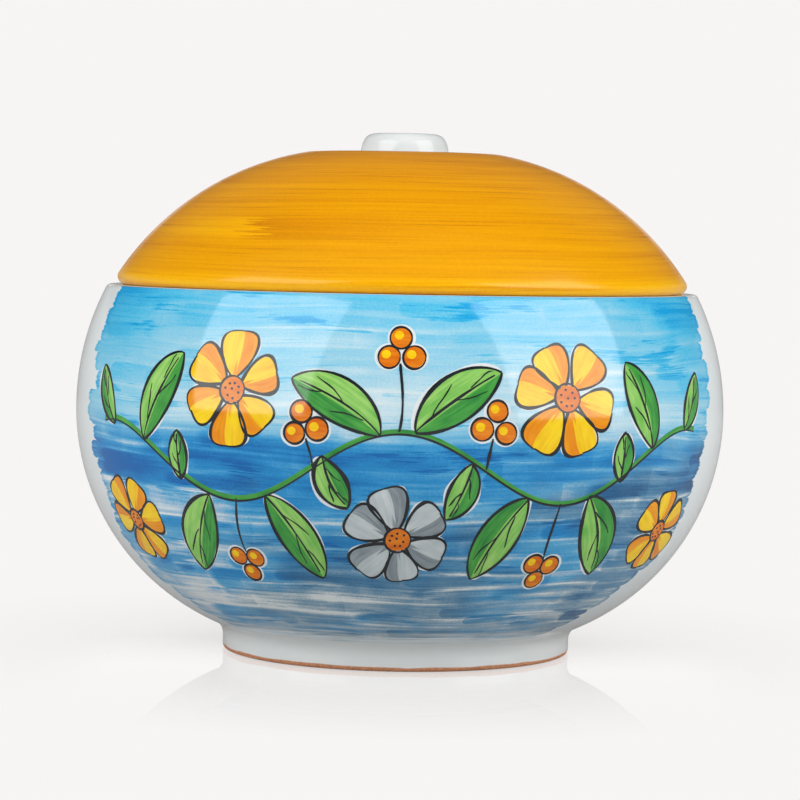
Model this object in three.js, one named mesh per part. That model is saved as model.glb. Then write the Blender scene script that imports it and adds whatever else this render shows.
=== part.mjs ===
// A glazed earthenware cookie jar: a round-bellied bowl on a foot ring, closed by a domed lid
// whose knob stands in a sunk finger well. Each clay piece is turned on the wheel, so each one is a
// closed profile carried once round the Z axis.
// Millimetres, +Z up, origin on the table under the middle of the foot.

import * as THREE from 'three';

// Bowl
const BELLY_RADIUS = 125; // widest outside radius
const LOWER_CURVE = 89.8; // radius of the outside profile below the belly
const SHOULDER_CURVE = 101; // radius of the outside profile above the belly
const BOWL_HEIGHT = 128.7; // flat base to rim
const BOWL_WALL = 5.5;
const BASE_THICKNESS = 6.5;

// Rim of the bowl, folded inwards into a flat seat for the lid
const RIM_WIDTH = 16; // outer corner to mouth
const RIM_LIP = 6; // straight depth of the mouth
const RIM_FOLD = 22; // depth at which the fold runs out into the wall
const RIM_ROUND = 1.3; // rounding of the rim's two corners

// Foot ring
const FOOT_RADIUS = 67.2; // outside, where the ring is upright
const FOOT_HEIGHT = 11.3; // table to the bowl's flat base
const FOOT_COLLAR = 4.3; // how far the ring's top spreads out to run into the bowl
const FOOT_UPRIGHT = 3; // upright stretch between the rounded edge and the collar
const FOOT_WIDTH = 8; // width of the face that stands on the table
const FOOT_FLARE = 4; // how much wider the ring is inside, where it meets the bowl
const FOOT_ROUND = 1.8; // rounding of the edges on the table

// Lid
const LID_INSET = 1.4; // the rim's corner to the lid's edge, were that edge left sharp
const LID_HEIGHT = 52.2; // seat to the lip of the well
const DOME_CURVE = 108; // radius of the dome's outside profile
const LID_WALL = 5.5;
const EDGE_ROUND = 3; // radius of the bead that the dome ends in, between it and the seat
const BRIM_FILLET = 8; // length that the fillet inside the brim takes off the dome

// Finger well in the top of the lid
const WELL_RADIUS = 33.5; // at the lip
const WELL_DEPTH = 15;
const WELL_TAPER = 3; // how much narrower the floor is than the lip
const WELL_FILLET = 5;
const LIP_ROUND = 4;

// Flange that hangs from the lid's seat and keeps the lid in the mouth
const FLANGE_CLEARANCE = 1.6; // mouth to flange, all round
const FLANGE_DEPTH = 11;
const FLANGE_WALL = 5;
const FLANGE_ROUND = 1.6;

// Knob
const KNOB_RADIUS = 16.9; // widest
const KNOB_NECK = 13; // radius at the floor of the well
const KNOB_HEIGHT = 22.8;
const KNOB_SHOULDER = 8.2; // depth of the widest place below the top
const KNOB_ROUND = 5.5; // how far the rounding of the top edge reaches inwards
const KNOB_CROWN = 0.4; // how much the top rises to its middle

// Facets
const TURN_FACETS = 56; // round the axis
const LONG_CURVE_STEPS = 12;
const MEDIUM_CURVE_STEPS = 6;
const FILLET_STEPS = 3;

// Heights and radii that follow from the driving dimensions

const lowerCentreRadius = BELLY_RADIUS - LOWER_CURVE;
const shoulderCentreRadius = BELLY_RADIUS - SHOULDER_CURVE;
const baseRadius = FOOT_RADIUS + FOOT_COLLAR;
const baseReach = baseRadius - lowerCentreRadius;
const baseDrop = legOf(LOWER_CURVE, baseReach);
const bellyHeight = FOOT_HEIGHT + baseDrop;
const rimHeight = FOOT_HEIGHT + BOWL_HEIGHT;
const rimRadius = shoulderCentreRadius + legOf(SHOULDER_CURVE, rimHeight - bellyHeight);
const mouthRadius = rimRadius - RIM_WIDTH;
const floorHeight = FOOT_HEIGHT + BASE_THICKNESS;

const lidEdgeRadius = rimRadius - LID_INSET;
const lipHeight = rimHeight + LID_HEIGHT;
const wellFloorHeight = lipHeight - WELL_DEPTH;
const wellFloorRadius = WELL_RADIUS - WELL_TAPER;
const flangeOuterRadius = mouthRadius - FLANGE_CLEARANCE;
const flangeInnerRadius = flangeOuterRadius - FLANGE_WALL;
const knobTopHeight = wellFloorHeight + KNOB_HEIGHT;

// The other leg of a right-angled triangle.
function legOf(hypotenuse, leg) {
  return Math.sqrt(hypotenuse * hypotenuse - leg * leg);
}

// A profile point: distance from the axis, height above the table.
function at(radius, height) {
  return new THREE.Vector2(radius, height);
}

// Points of a circular arc between two angles, counted from straight outwards.
function arc(centre, radius, from, to, steps) {
  const curve = new THREE.EllipseCurve(centre.x, centre.y, radius, radius, from, to, to < from);
  return curve.getPoints(steps);
}

// Points of a rounded corner: it leaves start and reaches end, pulled towards the sharp corner.
function round(start, corner, end, steps = FILLET_STEPS) {
  return new THREE.QuadraticBezierCurve(start, corner, end).getPoints(steps);
}

// Angle of the point at a height on a circle round centre, on its outer side.
function angleAtHeight(centre, radius, height) {
  return Math.asin((height - centre.y) / radius);
}

// Centre of the circle of that radius through two points, on the side of the axis.
function centreThrough(lower, upper, radius) {
  const middle = lower.clone().add(upper).multiplyScalar(0.5);
  const chord = upper.clone().sub(lower);
  const reach = legOf(radius, chord.length() / 2);
  const inwards = at(-chord.y, chord.x).normalize();
  return middle.add(inwards.multiplyScalar(reach));
}

// A named mesh: the profile, listed anticlockwise with the axis on its left, turned once round Z.
function turned(name, profile, material) {
  const points = profile.filter((p, i) => i === 0 || p.distanceTo(profile[i - 1]) > 1e-6);
  const geometry = new THREE.LatheGeometry(points, TURN_FACETS);
  geometry.rotateX(Math.PI / 2);
  const mesh = new THREE.Mesh(geometry, material);
  mesh.name = name;
  return mesh;
}

// Materials

const blueWashedGlaze = new THREE.MeshStandardMaterial({ color: 0x86bbdb, roughness: 0.14, metalness: 0 });
const whiteGlaze = new THREE.MeshStandardMaterial({ color: 0xdfe5e6, roughness: 0.14, metalness: 0 });
const orangeGlaze = new THREE.MeshStandardMaterial({ color: 0xeea20f, roughness: 0.16, metalness: 0 });

// Bowl: two outside curves that share an upright tangent at the belly, a flat folded rim,
// and the same curves one wall thickness further in.
function jarBowl() {
  const lowerCentre = at(lowerCentreRadius, bellyHeight);
  const shoulderCentre = at(shoulderCentreRadius, bellyHeight);
  const innerLower = LOWER_CURVE - BOWL_WALL;
  const innerShoulder = SHOULDER_CURVE - BOWL_WALL;

  const baseAngle = angleAtHeight(lowerCentre, LOWER_CURVE, FOOT_HEIGHT);
  const rimAngle = angleAtHeight(shoulderCentre, SHOULDER_CURVE, rimHeight - RIM_ROUND);
  const foldAngle = angleAtHeight(shoulderCentre, innerShoulder, rimHeight - RIM_FOLD);
  const floorAngle = angleAtHeight(lowerCentre, innerLower, floorHeight);

  const lowerWall = arc(lowerCentre, LOWER_CURVE, baseAngle, 0, LONG_CURVE_STEPS);
  const shoulder = arc(shoulderCentre, SHOULDER_CURVE, 0, rimAngle, MEDIUM_CURVE_STEPS);
  const outerCorner = round(
    shoulder.at(-1),
    at(rimRadius, rimHeight),
    at(rimRadius - RIM_ROUND, rimHeight),
  );
  const innerCorner = round(
    at(mouthRadius + RIM_ROUND, rimHeight),
    at(mouthRadius, rimHeight),
    at(mouthRadius, rimHeight - RIM_ROUND),
  );

  // The fold leaves the mouth level and runs out along the wall's own tangent.
  const foldEnd = at(
    shoulderCentre.x + innerShoulder * Math.cos(foldAngle),
    shoulderCentre.y + innerShoulder * Math.sin(foldAngle),
  );
  const foldRise = RIM_FOLD - RIM_LIP;
  const foldCorner = at(foldEnd.x - foldRise * Math.tan(foldAngle), rimHeight - RIM_LIP);
  const fold = round(at(mouthRadius, rimHeight - RIM_LIP), foldCorner, foldEnd, MEDIUM_CURVE_STEPS);

  const innerShoulderWall = arc(shoulderCentre, innerShoulder, foldAngle, 0, FILLET_STEPS);
  const innerLowerWall = arc(lowerCentre, innerLower, 0, floorAngle, LONG_CURVE_STEPS - 2);

  return turned('jar_bowl', [
    at(0, FOOT_HEIGHT),
    ...lowerWall,
    ...shoulder,
    ...outerCorner,
    ...innerCorner,
    ...fold,
    ...innerShoulderWall,
    ...innerLowerWall,
    at(0, floorHeight),
  ], blueWashedGlaze);
}

// Foot ring: upright outside, with a hollow collar that runs into the bowl along the bowl's own
// slope, leaning inside, and rounded where it stands on the table.
function footRing() {
  const standInner = FOOT_RADIUS - FOOT_WIDTH;
  const topInner = standInner - FOOT_FLARE;
  const outerEdge = round(
    at(FOOT_RADIUS - FOOT_ROUND, 0),
    at(FOOT_RADIUS, 0),
    at(FOOT_RADIUS, FOOT_ROUND),
  );
  const collar = round(
    at(FOOT_RADIUS, FOOT_ROUND + FOOT_UPRIGHT),
    at(FOOT_RADIUS, FOOT_HEIGHT - (FOOT_COLLAR * baseReach) / baseDrop),
    at(baseRadius, FOOT_HEIGHT),
    MEDIUM_CURVE_STEPS,
  );
  const innerEdge = round(
    at(standInner - (FOOT_FLARE * FOOT_ROUND) / FOOT_HEIGHT, FOOT_ROUND),
    at(standInner, 0),
    at(standInner + FOOT_ROUND, 0),
  );
  return turned('foot_ring', [
    ...outerEdge,
    ...collar,
    at(topInner, FOOT_HEIGHT),
    ...innerEdge,
    outerEdge[0],
  ], whiteGlaze);
}

// Lid: a dome with a rounded edge, a flat seat and brim below, and the sunk well in its top.
function lidDome() {
  const sharpEdge = at(lidEdgeRadius, rimHeight);
  const centre = centreThrough(sharpEdge, at(WELL_RADIUS + LIP_ROUND, lipHeight), DOME_CURVE);
  const innerCurve = DOME_CURVE - LID_WALL;

  // Underside of the well, out to where its wall meets the inside of the dome.
  const underFloor = wellFloorHeight - LID_WALL;
  const underRadius = WELL_RADIUS + LID_WALL;
  const underTopAngle = Math.acos((underRadius - centre.x) / innerCurve);
  const underCorner = round(
    at(wellFloorRadius, underFloor),
    at(wellFloorRadius + LID_WALL, underFloor),
    at(wellFloorRadius + LID_WALL, underFloor + WELL_FILLET),
  );

  // Inside of the dome, with a fillet down to the brim's inner edge.
  const brimHeight = rimHeight + LID_WALL;
  const brimAngle = angleAtHeight(centre, innerCurve, brimHeight);
  const filletAngle = brimAngle + BRIM_FILLET / innerCurve;
  const innerDome = arc(centre, innerCurve, underTopAngle, filletAngle, MEDIUM_CURVE_STEPS + 2);
  const brimCorner = at(centre.x + innerCurve * Math.cos(brimAngle), brimHeight);
  const brimFillet = round(innerDome.at(-1), brimCorner, at(flangeInnerRadius, brimHeight));

  // Outside: a bead that touches the seat and runs into the dome, then the dome, the lip and the well.
  const beadHeight = rimHeight + EDGE_ROUND;
  const beadReach = legOf(DOME_CURVE - EDGE_ROUND, beadHeight - centre.y);
  const beadCentre = at(centre.x + beadReach, beadHeight);
  const domeStart = Math.atan2(beadHeight - centre.y, beadReach);
  const domeEnd = Math.acos((WELL_RADIUS + LIP_ROUND - centre.x) / DOME_CURVE);
  const dome = arc(centre, DOME_CURVE, domeStart, domeEnd, LONG_CURVE_STEPS);
  const bead = arc(beadCentre, EDGE_ROUND, -Math.PI / 2, domeStart, MEDIUM_CURVE_STEPS);
  const lip = round(dome.at(-1), at(WELL_RADIUS, lipHeight), at(WELL_RADIUS, lipHeight - LIP_ROUND));
  const wellCorner = round(
    at(wellFloorRadius, wellFloorHeight + WELL_FILLET),
    at(wellFloorRadius, wellFloorHeight),
    at(wellFloorRadius - WELL_FILLET, wellFloorHeight),
  );

  return turned('lid_dome', [
    at(0, underFloor),
    ...underCorner,
    ...innerDome,
    ...brimFillet,
    at(flangeInnerRadius, rimHeight),
    ...bead,
    ...dome,
    ...lip,
    ...wellCorner,
    at(0, wellFloorHeight),
  ], orangeGlaze);
}

// Flange: a short ring under the lid's seat, rounded at its free end.
function lidFlange() {
  const bottom = rimHeight - FLANGE_DEPTH;
  const outerEdge = round(
    at(flangeOuterRadius - FLANGE_ROUND, bottom),
    at(flangeOuterRadius, bottom),
    at(flangeOuterRadius, bottom + FLANGE_ROUND),
  );
  const innerEdge = round(
    at(flangeInnerRadius, bottom + FLANGE_ROUND),
    at(flangeInnerRadius, bottom),
    at(flangeInnerRadius + FLANGE_ROUND, bottom),
  );
  return turned('lid_flange', [
    ...outerEdge,
    at(flangeOuterRadius, rimHeight),
    at(flangeInnerRadius, rimHeight),
    ...innerEdge,
    outerEdge[0],
  ], whiteGlaze);
}

// Knob: a button with a slim neck, which stands on the floor of the well and rises past the lip. Its
// flank swings out from the neck and is upright where the knob is widest.
function lidKnob() {
  const shoulderHeight = knobTopHeight - KNOB_SHOULDER;
  const middle = at((KNOB_NECK + KNOB_RADIUS) / 2, (wellFloorHeight + shoulderHeight) / 2);
  const neck = round(
    at(KNOB_NECK, wellFloorHeight),
    at(KNOB_NECK, (wellFloorHeight + middle.y) / 2),
    middle,
  );
  const flank = round(
    middle,
    at(KNOB_RADIUS, (middle.y + shoulderHeight) / 2),
    at(KNOB_RADIUS, shoulderHeight),
  );
  const topEdge = round(
    at(KNOB_RADIUS, shoulderHeight),
    at(KNOB_RADIUS, knobTopHeight - KNOB_CROWN),
    at(KNOB_RADIUS - KNOB_ROUND, knobTopHeight - KNOB_CROWN / 2),
    MEDIUM_CURVE_STEPS,
  );
  return turned('lid_knob', [
    at(0, wellFloorHeight),
    ...neck,
    ...flank,
    ...topEdge,
    at(0, knobTopHeight),
  ], whiteGlaze);
}

const jar = new THREE.Group();
jar.add(jarBowl(), footRing());

const lid = new THREE.Group();
lid.add(lidDome(), lidFlange(), lidKnob());

const cookieJar = new THREE.Group();
cookieJar.add(jar, lid);

export default cookieJar;
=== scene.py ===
# %% [markdown]
# # A hand-painted cookie jar
# The real jar is earthenware: each piece is thrown on a wheel, fired, dipped in white glaze, painted
# with a brush and fired again, so the colours lie under a hard gloss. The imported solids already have
# every size, so they are loaded first, as the fixed frame that all the finer surfaces are fitted to.

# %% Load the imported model
from collections import defaultdict
from functools import partial

import bpy
import numpy as np
from mathutils import Matrix, Vector


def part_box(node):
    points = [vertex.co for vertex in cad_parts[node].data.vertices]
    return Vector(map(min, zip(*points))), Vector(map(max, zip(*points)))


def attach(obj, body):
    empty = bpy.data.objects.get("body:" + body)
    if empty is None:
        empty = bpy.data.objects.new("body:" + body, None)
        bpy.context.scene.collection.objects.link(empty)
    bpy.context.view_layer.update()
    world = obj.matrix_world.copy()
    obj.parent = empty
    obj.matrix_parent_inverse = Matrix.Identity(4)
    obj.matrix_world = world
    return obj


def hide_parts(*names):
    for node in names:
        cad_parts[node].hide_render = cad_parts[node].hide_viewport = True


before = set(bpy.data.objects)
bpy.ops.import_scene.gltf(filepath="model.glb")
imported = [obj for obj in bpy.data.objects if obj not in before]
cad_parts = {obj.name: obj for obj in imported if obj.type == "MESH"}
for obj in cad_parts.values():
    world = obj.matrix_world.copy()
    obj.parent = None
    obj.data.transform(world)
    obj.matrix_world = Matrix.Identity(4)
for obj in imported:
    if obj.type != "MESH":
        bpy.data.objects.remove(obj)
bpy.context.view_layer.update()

# %% [markdown]
# ## Sizes
# A turned piece is known by its widest radius and its lowest and highest point. These come from the
# frame, so the dressed jar can't drift away from the solid one. Only the curves between those points
# are written here again, in millimetres.

# %% Read the main sizes off the frame
MM = 0.001


def reach(name):
    """Widest radius, lowest and highest point of a turned solid, in millimetres."""
    low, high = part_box(name)
    return high.x / MM, low.z / MM, high.z / MM


belly_radius, base_height, rim_height = reach("jar_bowl")
base_radius, _, _ = reach("foot_ring")
_, _, lip_height = reach("lid_dome")
flange_radius, flange_bottom, _ = reach("lid_flange")
knob_radius, well_floor, knob_top = reach("lid_knob")
print(f"belly {2 * belly_radius:.1f} mm wide, rim at {rim_height:.1f}, knob top at {knob_top:.1f}")

# %% [markdown]
# ## Profiles
# A potter shapes a profile and the wheel does the rest. Every profile here is a list of points
# (radius, height), joined from circular arcs and rounded corners. Arrays of whole curves are easier
# to check than a mesh that is edited vertex by vertex.

# %% Curves of a profile
TINY = 1e-6  # mm, below which two points are one


def leg(hypotenuse, other):
    """The other leg of a right-angled triangle."""
    return np.sqrt(hypotenuse**2 - other**2)


def arc(centre, radius, start, end, count):
    """Points of a circle: centre + radius × (cos, sin) of angles from start to end."""
    angle = np.linspace(start, end, count)
    return np.column_stack([centre[0] + radius * np.cos(angle), centre[1] + radius * np.sin(angle)])


def rounded(start, corner, end, count=8):
    """A rounded corner: (1 - t)² start + 2 t (1 - t) corner + t² end."""
    t = np.linspace(0, 1, count)[:, None]
    start, corner, end = (np.asarray(p, float) for p in (start, corner, end))
    return (1 - t) ** 2 * start + 2 * t * (1 - t) * corner + t**2 * end


def corner(point, before, after):
    """A rounded corner that starts and ends at a step from its point."""
    return rounded(np.add(point, before), point, np.add(point, after))


def joined(*runs):
    """One profile from several runs of points, without the doubles where two runs meet."""
    points = np.vstack([np.atleast_2d(run) for run in runs])
    apart = np.linalg.norm(np.diff(points, axis=0), axis=1) > TINY
    return points[np.concatenate([[True], apart])]


# %% [markdown]
# ## Turning
# Turning could be left to the Screw modifier, but a plain grid is surer: one parameter runs along the
# profile, the other round the axis. The front is azimuth 0, and the seam lies at the back. A profile
# that meets the axis gets a single point there, with a fan of triangles round it, so it is closed.

# %% Turn a profile into a mesh
AROUND = 288  # columns of faces round the axis
CREASE = np.radians(22)  # edges sharper than this stay crisp


def new_piece(name, points, faces):
    """A smooth mesh object from points in millimetres."""
    mesh = bpy.data.meshes.new(name)
    mesh.from_pydata(np.asarray(points) * MM, [], faces)
    mesh.shade_smooth()
    mesh.set_sharp_from_angle(angle=CREASE)
    piece = bpy.data.objects.new(name, mesh)
    bpy.context.scene.collection.objects.link(piece)
    print(f"{name}: {len(mesh.vertices)} points, {len(mesh.polygons)} faces")
    return piece


def turned(name, profile, ring=False):
    """The profile's point (r, z) at azimuth a lies at (r sin a, -r cos a, z). A ring's is closed."""
    axis_first, axis_last = profile[0, 0] < TINY, profile[-1, 0] < TINY
    rows = profile[int(axis_first) : len(profile) - int(axis_last)]
    azimuth = np.linspace(-np.pi, np.pi, AROUND, endpoint=False)
    radius, height = rows[:, :1], np.repeat(rows[:, 1:], AROUND, axis=1)
    grid = np.stack([radius * np.sin(azimuth), -radius * np.cos(azimuth), height], axis=2)
    number = np.arange(len(rows) * AROUND).reshape(len(rows), AROUND)
    if ring:
        number = np.vstack([number, number[:1]])
    here, beside = number, np.roll(number, -1, axis=1)
    faces = np.stack([here[:-1], beside[:-1], beside[1:], here[1:]], axis=2).reshape(-1, 4).tolist()
    points = [grid.reshape(-1, 3)]
    pole = len(rows) * AROUND
    for on_axis, row, order in ((axis_first, 0, (beside, here)), (axis_last, -1, (here, beside))):
        if on_axis:
            points.append([[0, 0, profile[row, 1]]])
            faces += np.column_stack([np.full(AROUND, pole), order[0][row], order[1][row]]).tolist()
            pole += 1
    return new_piece(name, np.vstack(points), faces)


# %% [markdown]
# ## The bowl
# The bowl is the body of the jar: two arcs that share an upright tangent at the belly, a flat rim
# folded inwards as the lid's seat, and the same arcs one wall further in.

# %% Turn the bowl
LOWER_CURVE = 89.8  # radius of the outside profile below the belly
SHOULDER_CURVE = 101.0  # and above it
BOWL_WALL = 5.5
BASE_THICKNESS = 6.5
RIM_WIDTH = 16.0  # outer corner to mouth
RIM_LIP = 6.0  # straight depth of the mouth
RIM_FOLD = 22.0  # depth at which the fold runs out into the wall
RIM_ROUND = 1.3
BASE_ROW, FLOOR_ROW = base_radius - 18, 30.0  # radius of an extra row on the flat base and floor

lower_middle = belly_radius - LOWER_CURVE
shoulder_middle = belly_radius - SHOULDER_CURVE
belly_height = base_height + leg(LOWER_CURVE, base_radius - lower_middle)
rim_radius = shoulder_middle + leg(SHOULDER_CURVE, rim_height - belly_height)
mouth_radius = rim_radius - RIM_WIDTH
lower_centre = (lower_middle, belly_height)
shoulder_centre = (shoulder_middle, belly_height)

inner_lower, inner_shoulder = LOWER_CURVE - BOWL_WALL, SHOULDER_CURVE - BOWL_WALL
floor_height = base_height + BASE_THICKNESS
base_angle = np.arcsin((base_height - belly_height) / LOWER_CURVE)
rim_angle = np.arcsin((rim_height - RIM_ROUND - belly_height) / SHOULDER_CURVE)
fold_angle = np.arcsin((rim_height - RIM_FOLD - belly_height) / inner_shoulder)
floor_angle = np.arcsin((floor_height - belly_height) / inner_lower)
shoulder = arc(shoulder_centre, SHOULDER_CURVE, 0, rim_angle, 28)
inside = arc(shoulder_centre, inner_shoulder, fold_angle, 0, 12)
fold_run = (RIM_FOLD - RIM_LIP) * np.tan(fold_angle)
fold_corner = (inside[0, 0] - fold_run, rim_height - RIM_LIP)
rim_end = (rim_radius - RIM_ROUND, rim_height)

# Base, lower arc, shoulder arc, rim, mouth, fold, inner arcs and floor, anticlockwise.
bowl_profile = joined(
    (0, base_height),
    (BASE_ROW, base_height),
    arc(lower_centre, LOWER_CURVE, base_angle, 0, 56),
    shoulder,
    rounded(shoulder[-1], (rim_radius, rim_height), rim_end),
    corner((mouth_radius, rim_height), (RIM_ROUND, 0), (0, -RIM_ROUND)),
    rounded((mouth_radius, rim_height - RIM_LIP), fold_corner, inside[0], 14),
    inside,
    arc(lower_centre, inner_lower, 0, floor_angle, 40),
    (FLOOR_ROW, floor_height),
    (0, floor_height),
)

bowl = turned("glazed_bowl", bowl_profile)

# %% [markdown]
# ## The foot ring
# A thrown foot is trimmed upright and runs into the bowl with a hollow collar. It is the only part
# that touches the table, so the potter wipes the glaze off its edge before firing.

# %% Turn the foot ring
FOOT_COLLAR = 4.3  # how far the ring's top spreads to run into the bowl
FOOT_UPRIGHT = 3.0
FOOT_WIDTH = 8.0  # width of the standing face
FOOT_FLARE = 4.0
FOOT_ROUND = 1.8

outside = base_radius - FOOT_COLLAR
inside = outside - FOOT_WIDTH
slope = (base_radius - lower_middle) / (belly_height - base_height)
collar_start = (outside, FOOT_ROUND + FOOT_UPRIGHT)
collar_corner = (outside, base_height - FOOT_COLLAR * slope)
lean = FOOT_FLARE * FOOT_ROUND / base_height

# Rounded outer edge, upright, hollow collar, flat top, leaning inside and rounded inner edge.
foot_profile = joined(
    corner((outside, 0), (-FOOT_ROUND, 0), (0, FOOT_ROUND)),
    rounded(collar_start, collar_corner, (base_radius, base_height), 14),
    (inside - FOOT_FLARE, base_height),
    corner((inside, 0), (-lean, FOOT_ROUND), (FOOT_ROUND, 0)),
)

foot = turned("glazed_foot_ring", foot_profile, ring=True)

# %% [markdown]
# ## The lid
# The lid is a dome with a round bead along its edge, closed at the top by a sunk well for the
# fingers. Below it is open, with a flat seat that lies on the bowl's rim.

# %% Turn the lid
LID_INSET = 1.4  # the rim's corner to the lid's edge, were that edge left sharp
DOME_CURVE = 108.0  # radius of the dome's outside profile
LID_WALL = 5.5
EDGE_ROUND = 3.0  # radius of the bead between dome and seat
BRIM_FILLET = 8.0
WELL_RADIUS = 33.5  # at the lip
WELL_TAPER = 3.0
WELL_FILLET = 5.0
LIP_ROUND = 4.0
FLANGE_WALL = 5.0

lid_edge = np.array([rim_radius - LID_INSET, rim_height])
lip_start = np.array([WELL_RADIUS + LIP_ROUND, lip_height])
chord = lip_start - lid_edge
chord_length = np.linalg.norm(chord)
inwards = np.array([-chord[1], chord[0]]) / chord_length
dome_centre = (lid_edge + lip_start) / 2 + inwards * leg(DOME_CURVE, chord_length / 2)

inner = DOME_CURVE - LID_WALL
under = well_floor - LID_WALL
well = WELL_RADIUS - WELL_TAPER
well_outside = well + LID_WALL
flange_inside = flange_radius - FLANGE_WALL
brim = rim_height + LID_WALL
brim_angle = np.arcsin((brim - dome_centre[1]) / inner)
inner_start = np.arccos((WELL_RADIUS + LID_WALL - dome_centre[0]) / inner)
inner_dome = arc(dome_centre, inner, inner_start, brim_angle + BRIM_FILLET / inner, 40)
brim_corner = (dome_centre[0] + inner * np.cos(brim_angle), brim)
bead_rise = rim_height + EDGE_ROUND - dome_centre[1]
bead_reach = leg(DOME_CURVE - EDGE_ROUND, bead_rise)
bead_centre = (dome_centre[0] + bead_reach, rim_height + EDGE_ROUND)
dome_start = np.arctan2(bead_rise, bead_reach)
dome_end = np.arccos((lip_start[0] - dome_centre[0]) / DOME_CURVE)
dome = arc(dome_centre, DOME_CURVE, dome_start, dome_end, 52)
lip_end = (WELL_RADIUS, lip_height - LIP_ROUND)

# Under the well, inner dome, brim and seat, then the bead, the dome, the lip and the well.
lid_profile = joined(
    (0, under),
    (well * 0.5, under),
    rounded((well, under), (well_outside, under), (well_outside, under + WELL_FILLET)),
    inner_dome,
    rounded(inner_dome[-1], brim_corner, (flange_inside, brim)),
    (flange_inside, rim_height),
    arc(bead_centre, EDGE_ROUND, -np.pi / 2, dome_start, 16),
    dome,
    rounded(dome[-1], (WELL_RADIUS, lip_height), lip_end, 12),
    corner((well, well_floor), (0, WELL_FILLET), (-WELL_FILLET, 0)),
    (0, well_floor),
)

lid = turned("brushed_lid", lid_profile)

# %% [markdown]
# ## Flange and knob
# The flange hangs from the lid's seat and keeps the lid in the mouth. The knob is a thick button
# that stands on the floor of the well and rises just past the lip, where two fingers can take it.

# %% Turn the flange and the knob
FLANGE_ROUND = 1.6
KNOB_NECK = 13.0  # radius at the floor of the well
KNOB_SHOULDER = 8.2  # depth of the widest place below the top
KNOB_ROUND = 5.5  # how far the rounding of the top edge reaches inwards
KNOB_CROWN = 0.4

# An upright ring with its free end rounded.
flange_profile = joined(
    corner((flange_radius, flange_bottom), (-FLANGE_ROUND, 0), (0, FLANGE_ROUND)),
    (flange_radius, rim_height),
    (flange_inside, rim_height),
    corner((flange_inside, flange_bottom), (0, FLANGE_ROUND), (FLANGE_ROUND, 0)),
)

shoulder = knob_top - KNOB_SHOULDER
middle = ((KNOB_NECK + knob_radius) / 2, (well_floor + shoulder) / 2)
neck_corner = (KNOB_NECK, (well_floor + middle[1]) / 2)
flank_corner = (knob_radius, (middle[1] + shoulder) / 2)
edge_end = (knob_radius - KNOB_ROUND, knob_top - KNOB_CROWN / 2)

# A neck that swings out to an upright shoulder, a rounded edge and a slightly crowned top.
knob_profile = joined(
    (0, well_floor),
    rounded((KNOB_NECK, well_floor), neck_corner, middle, 10),
    rounded(middle, flank_corner, (knob_radius, shoulder), 10),
    rounded((knob_radius, shoulder), (knob_radius, knob_top - KNOB_CROWN), edge_end, 14),
    ((knob_radius - KNOB_ROUND) / 2, knob_top - KNOB_CROWN / 8),
    (0, knob_top),
)

flange = turned("glazed_flange", flange_profile, ring=True)
knob = turned("glazed_knob", knob_profile)

# %% [markdown]
# ## Node helpers
# All finishes are node trees. Two small functions keep them readable: one turns an sRGB hex colour
# into the linear numbers that shaders need, the other adds a node with its settings and links. Each
# finish gets that second function as `add`, already tied to its own tree.

# %% Colours and nodes
MODES = {  # the setting that the word after a kind of node stands for, as in "Math ADD"
    "Math": "operation",
    "VectorMath": "operation",
    "MapRange": "interpolation_type",
    "Mix": "data_type",
    "TexWhiteNoise": "noise_dimensions",
    "Attribute": "attribute_name",
}


def linear(code):
    """sRGB hex to linear RGBA: v / 12.92 in the darks, ((v + 0.055) / 1.055) ** 2.4 above."""
    v = np.array([int(code[i : i + 2], 16) for i in (1, 3, 5)]) / 255
    rgb = np.where(v <= 0.04045, v / 12.92, ((v + 0.055) / 1.055) ** 2.4)
    return (*rgb.tolist(), 1.0)


def add_node(tree, kind, *values, stops=(), **named):
    """Adds a node. Values fill its inputs, in order or by name; a node gives its first live output."""
    kind, _, mode = kind.partition(" ")
    made = tree.nodes.new("ShaderNode" + kind)
    if mode:
        setattr(made, MODES[kind], mode)
    sockets = {socket.identifier: socket for socket in made.inputs}
    feeds = [*zip(made.inputs, values), *((sockets[key], value) for key, value in named.items())]
    for socket, value in feeds:
        if isinstance(value, bpy.types.Node):
            value = next(output for output in value.outputs if output.enabled)
        if isinstance(value, bpy.types.NodeSocket):
            tree.links.new(value, socket)
        else:
            socket.default_value = value
    for index, (position, code) in enumerate(stops):
        bands = made.color_ramp.elements
        band = bands[index] if index < 2 else bands.new(position)
        band.position, band.color = position, linear(code)
    return made


def new_finish(name):
    """An empty material, and the function that adds a node to it."""
    material = bpy.data.materials.new(name)
    material.use_nodes = True
    material.node_tree.nodes.clear()
    return material, partial(add_node, material.node_tree)


# %% [markdown]
# ## The glaze
# Glaze is glass: clear, hard and smooth, with an index of refraction near 1.5. A dipped coat is never
# quite even, so it has a slow swell and a fine orange peel, which bend the reflections a little. All
# colours on the jar lie under this coat, so every finish ends in the same function, and the relief is
# read from Object coordinates so that it runs on from piece to piece.

# %% Gloss over a colour
GLASS_IOR = 1.5
SWELL, PEEL = 16.0, 2.4  # mm between the slow waves of the coat, and between the fine ones
RELIEF = 0.06  # mm, height of the slow waves
CLOUDS = 38.0  # mm between the greyer places of the white


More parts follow.
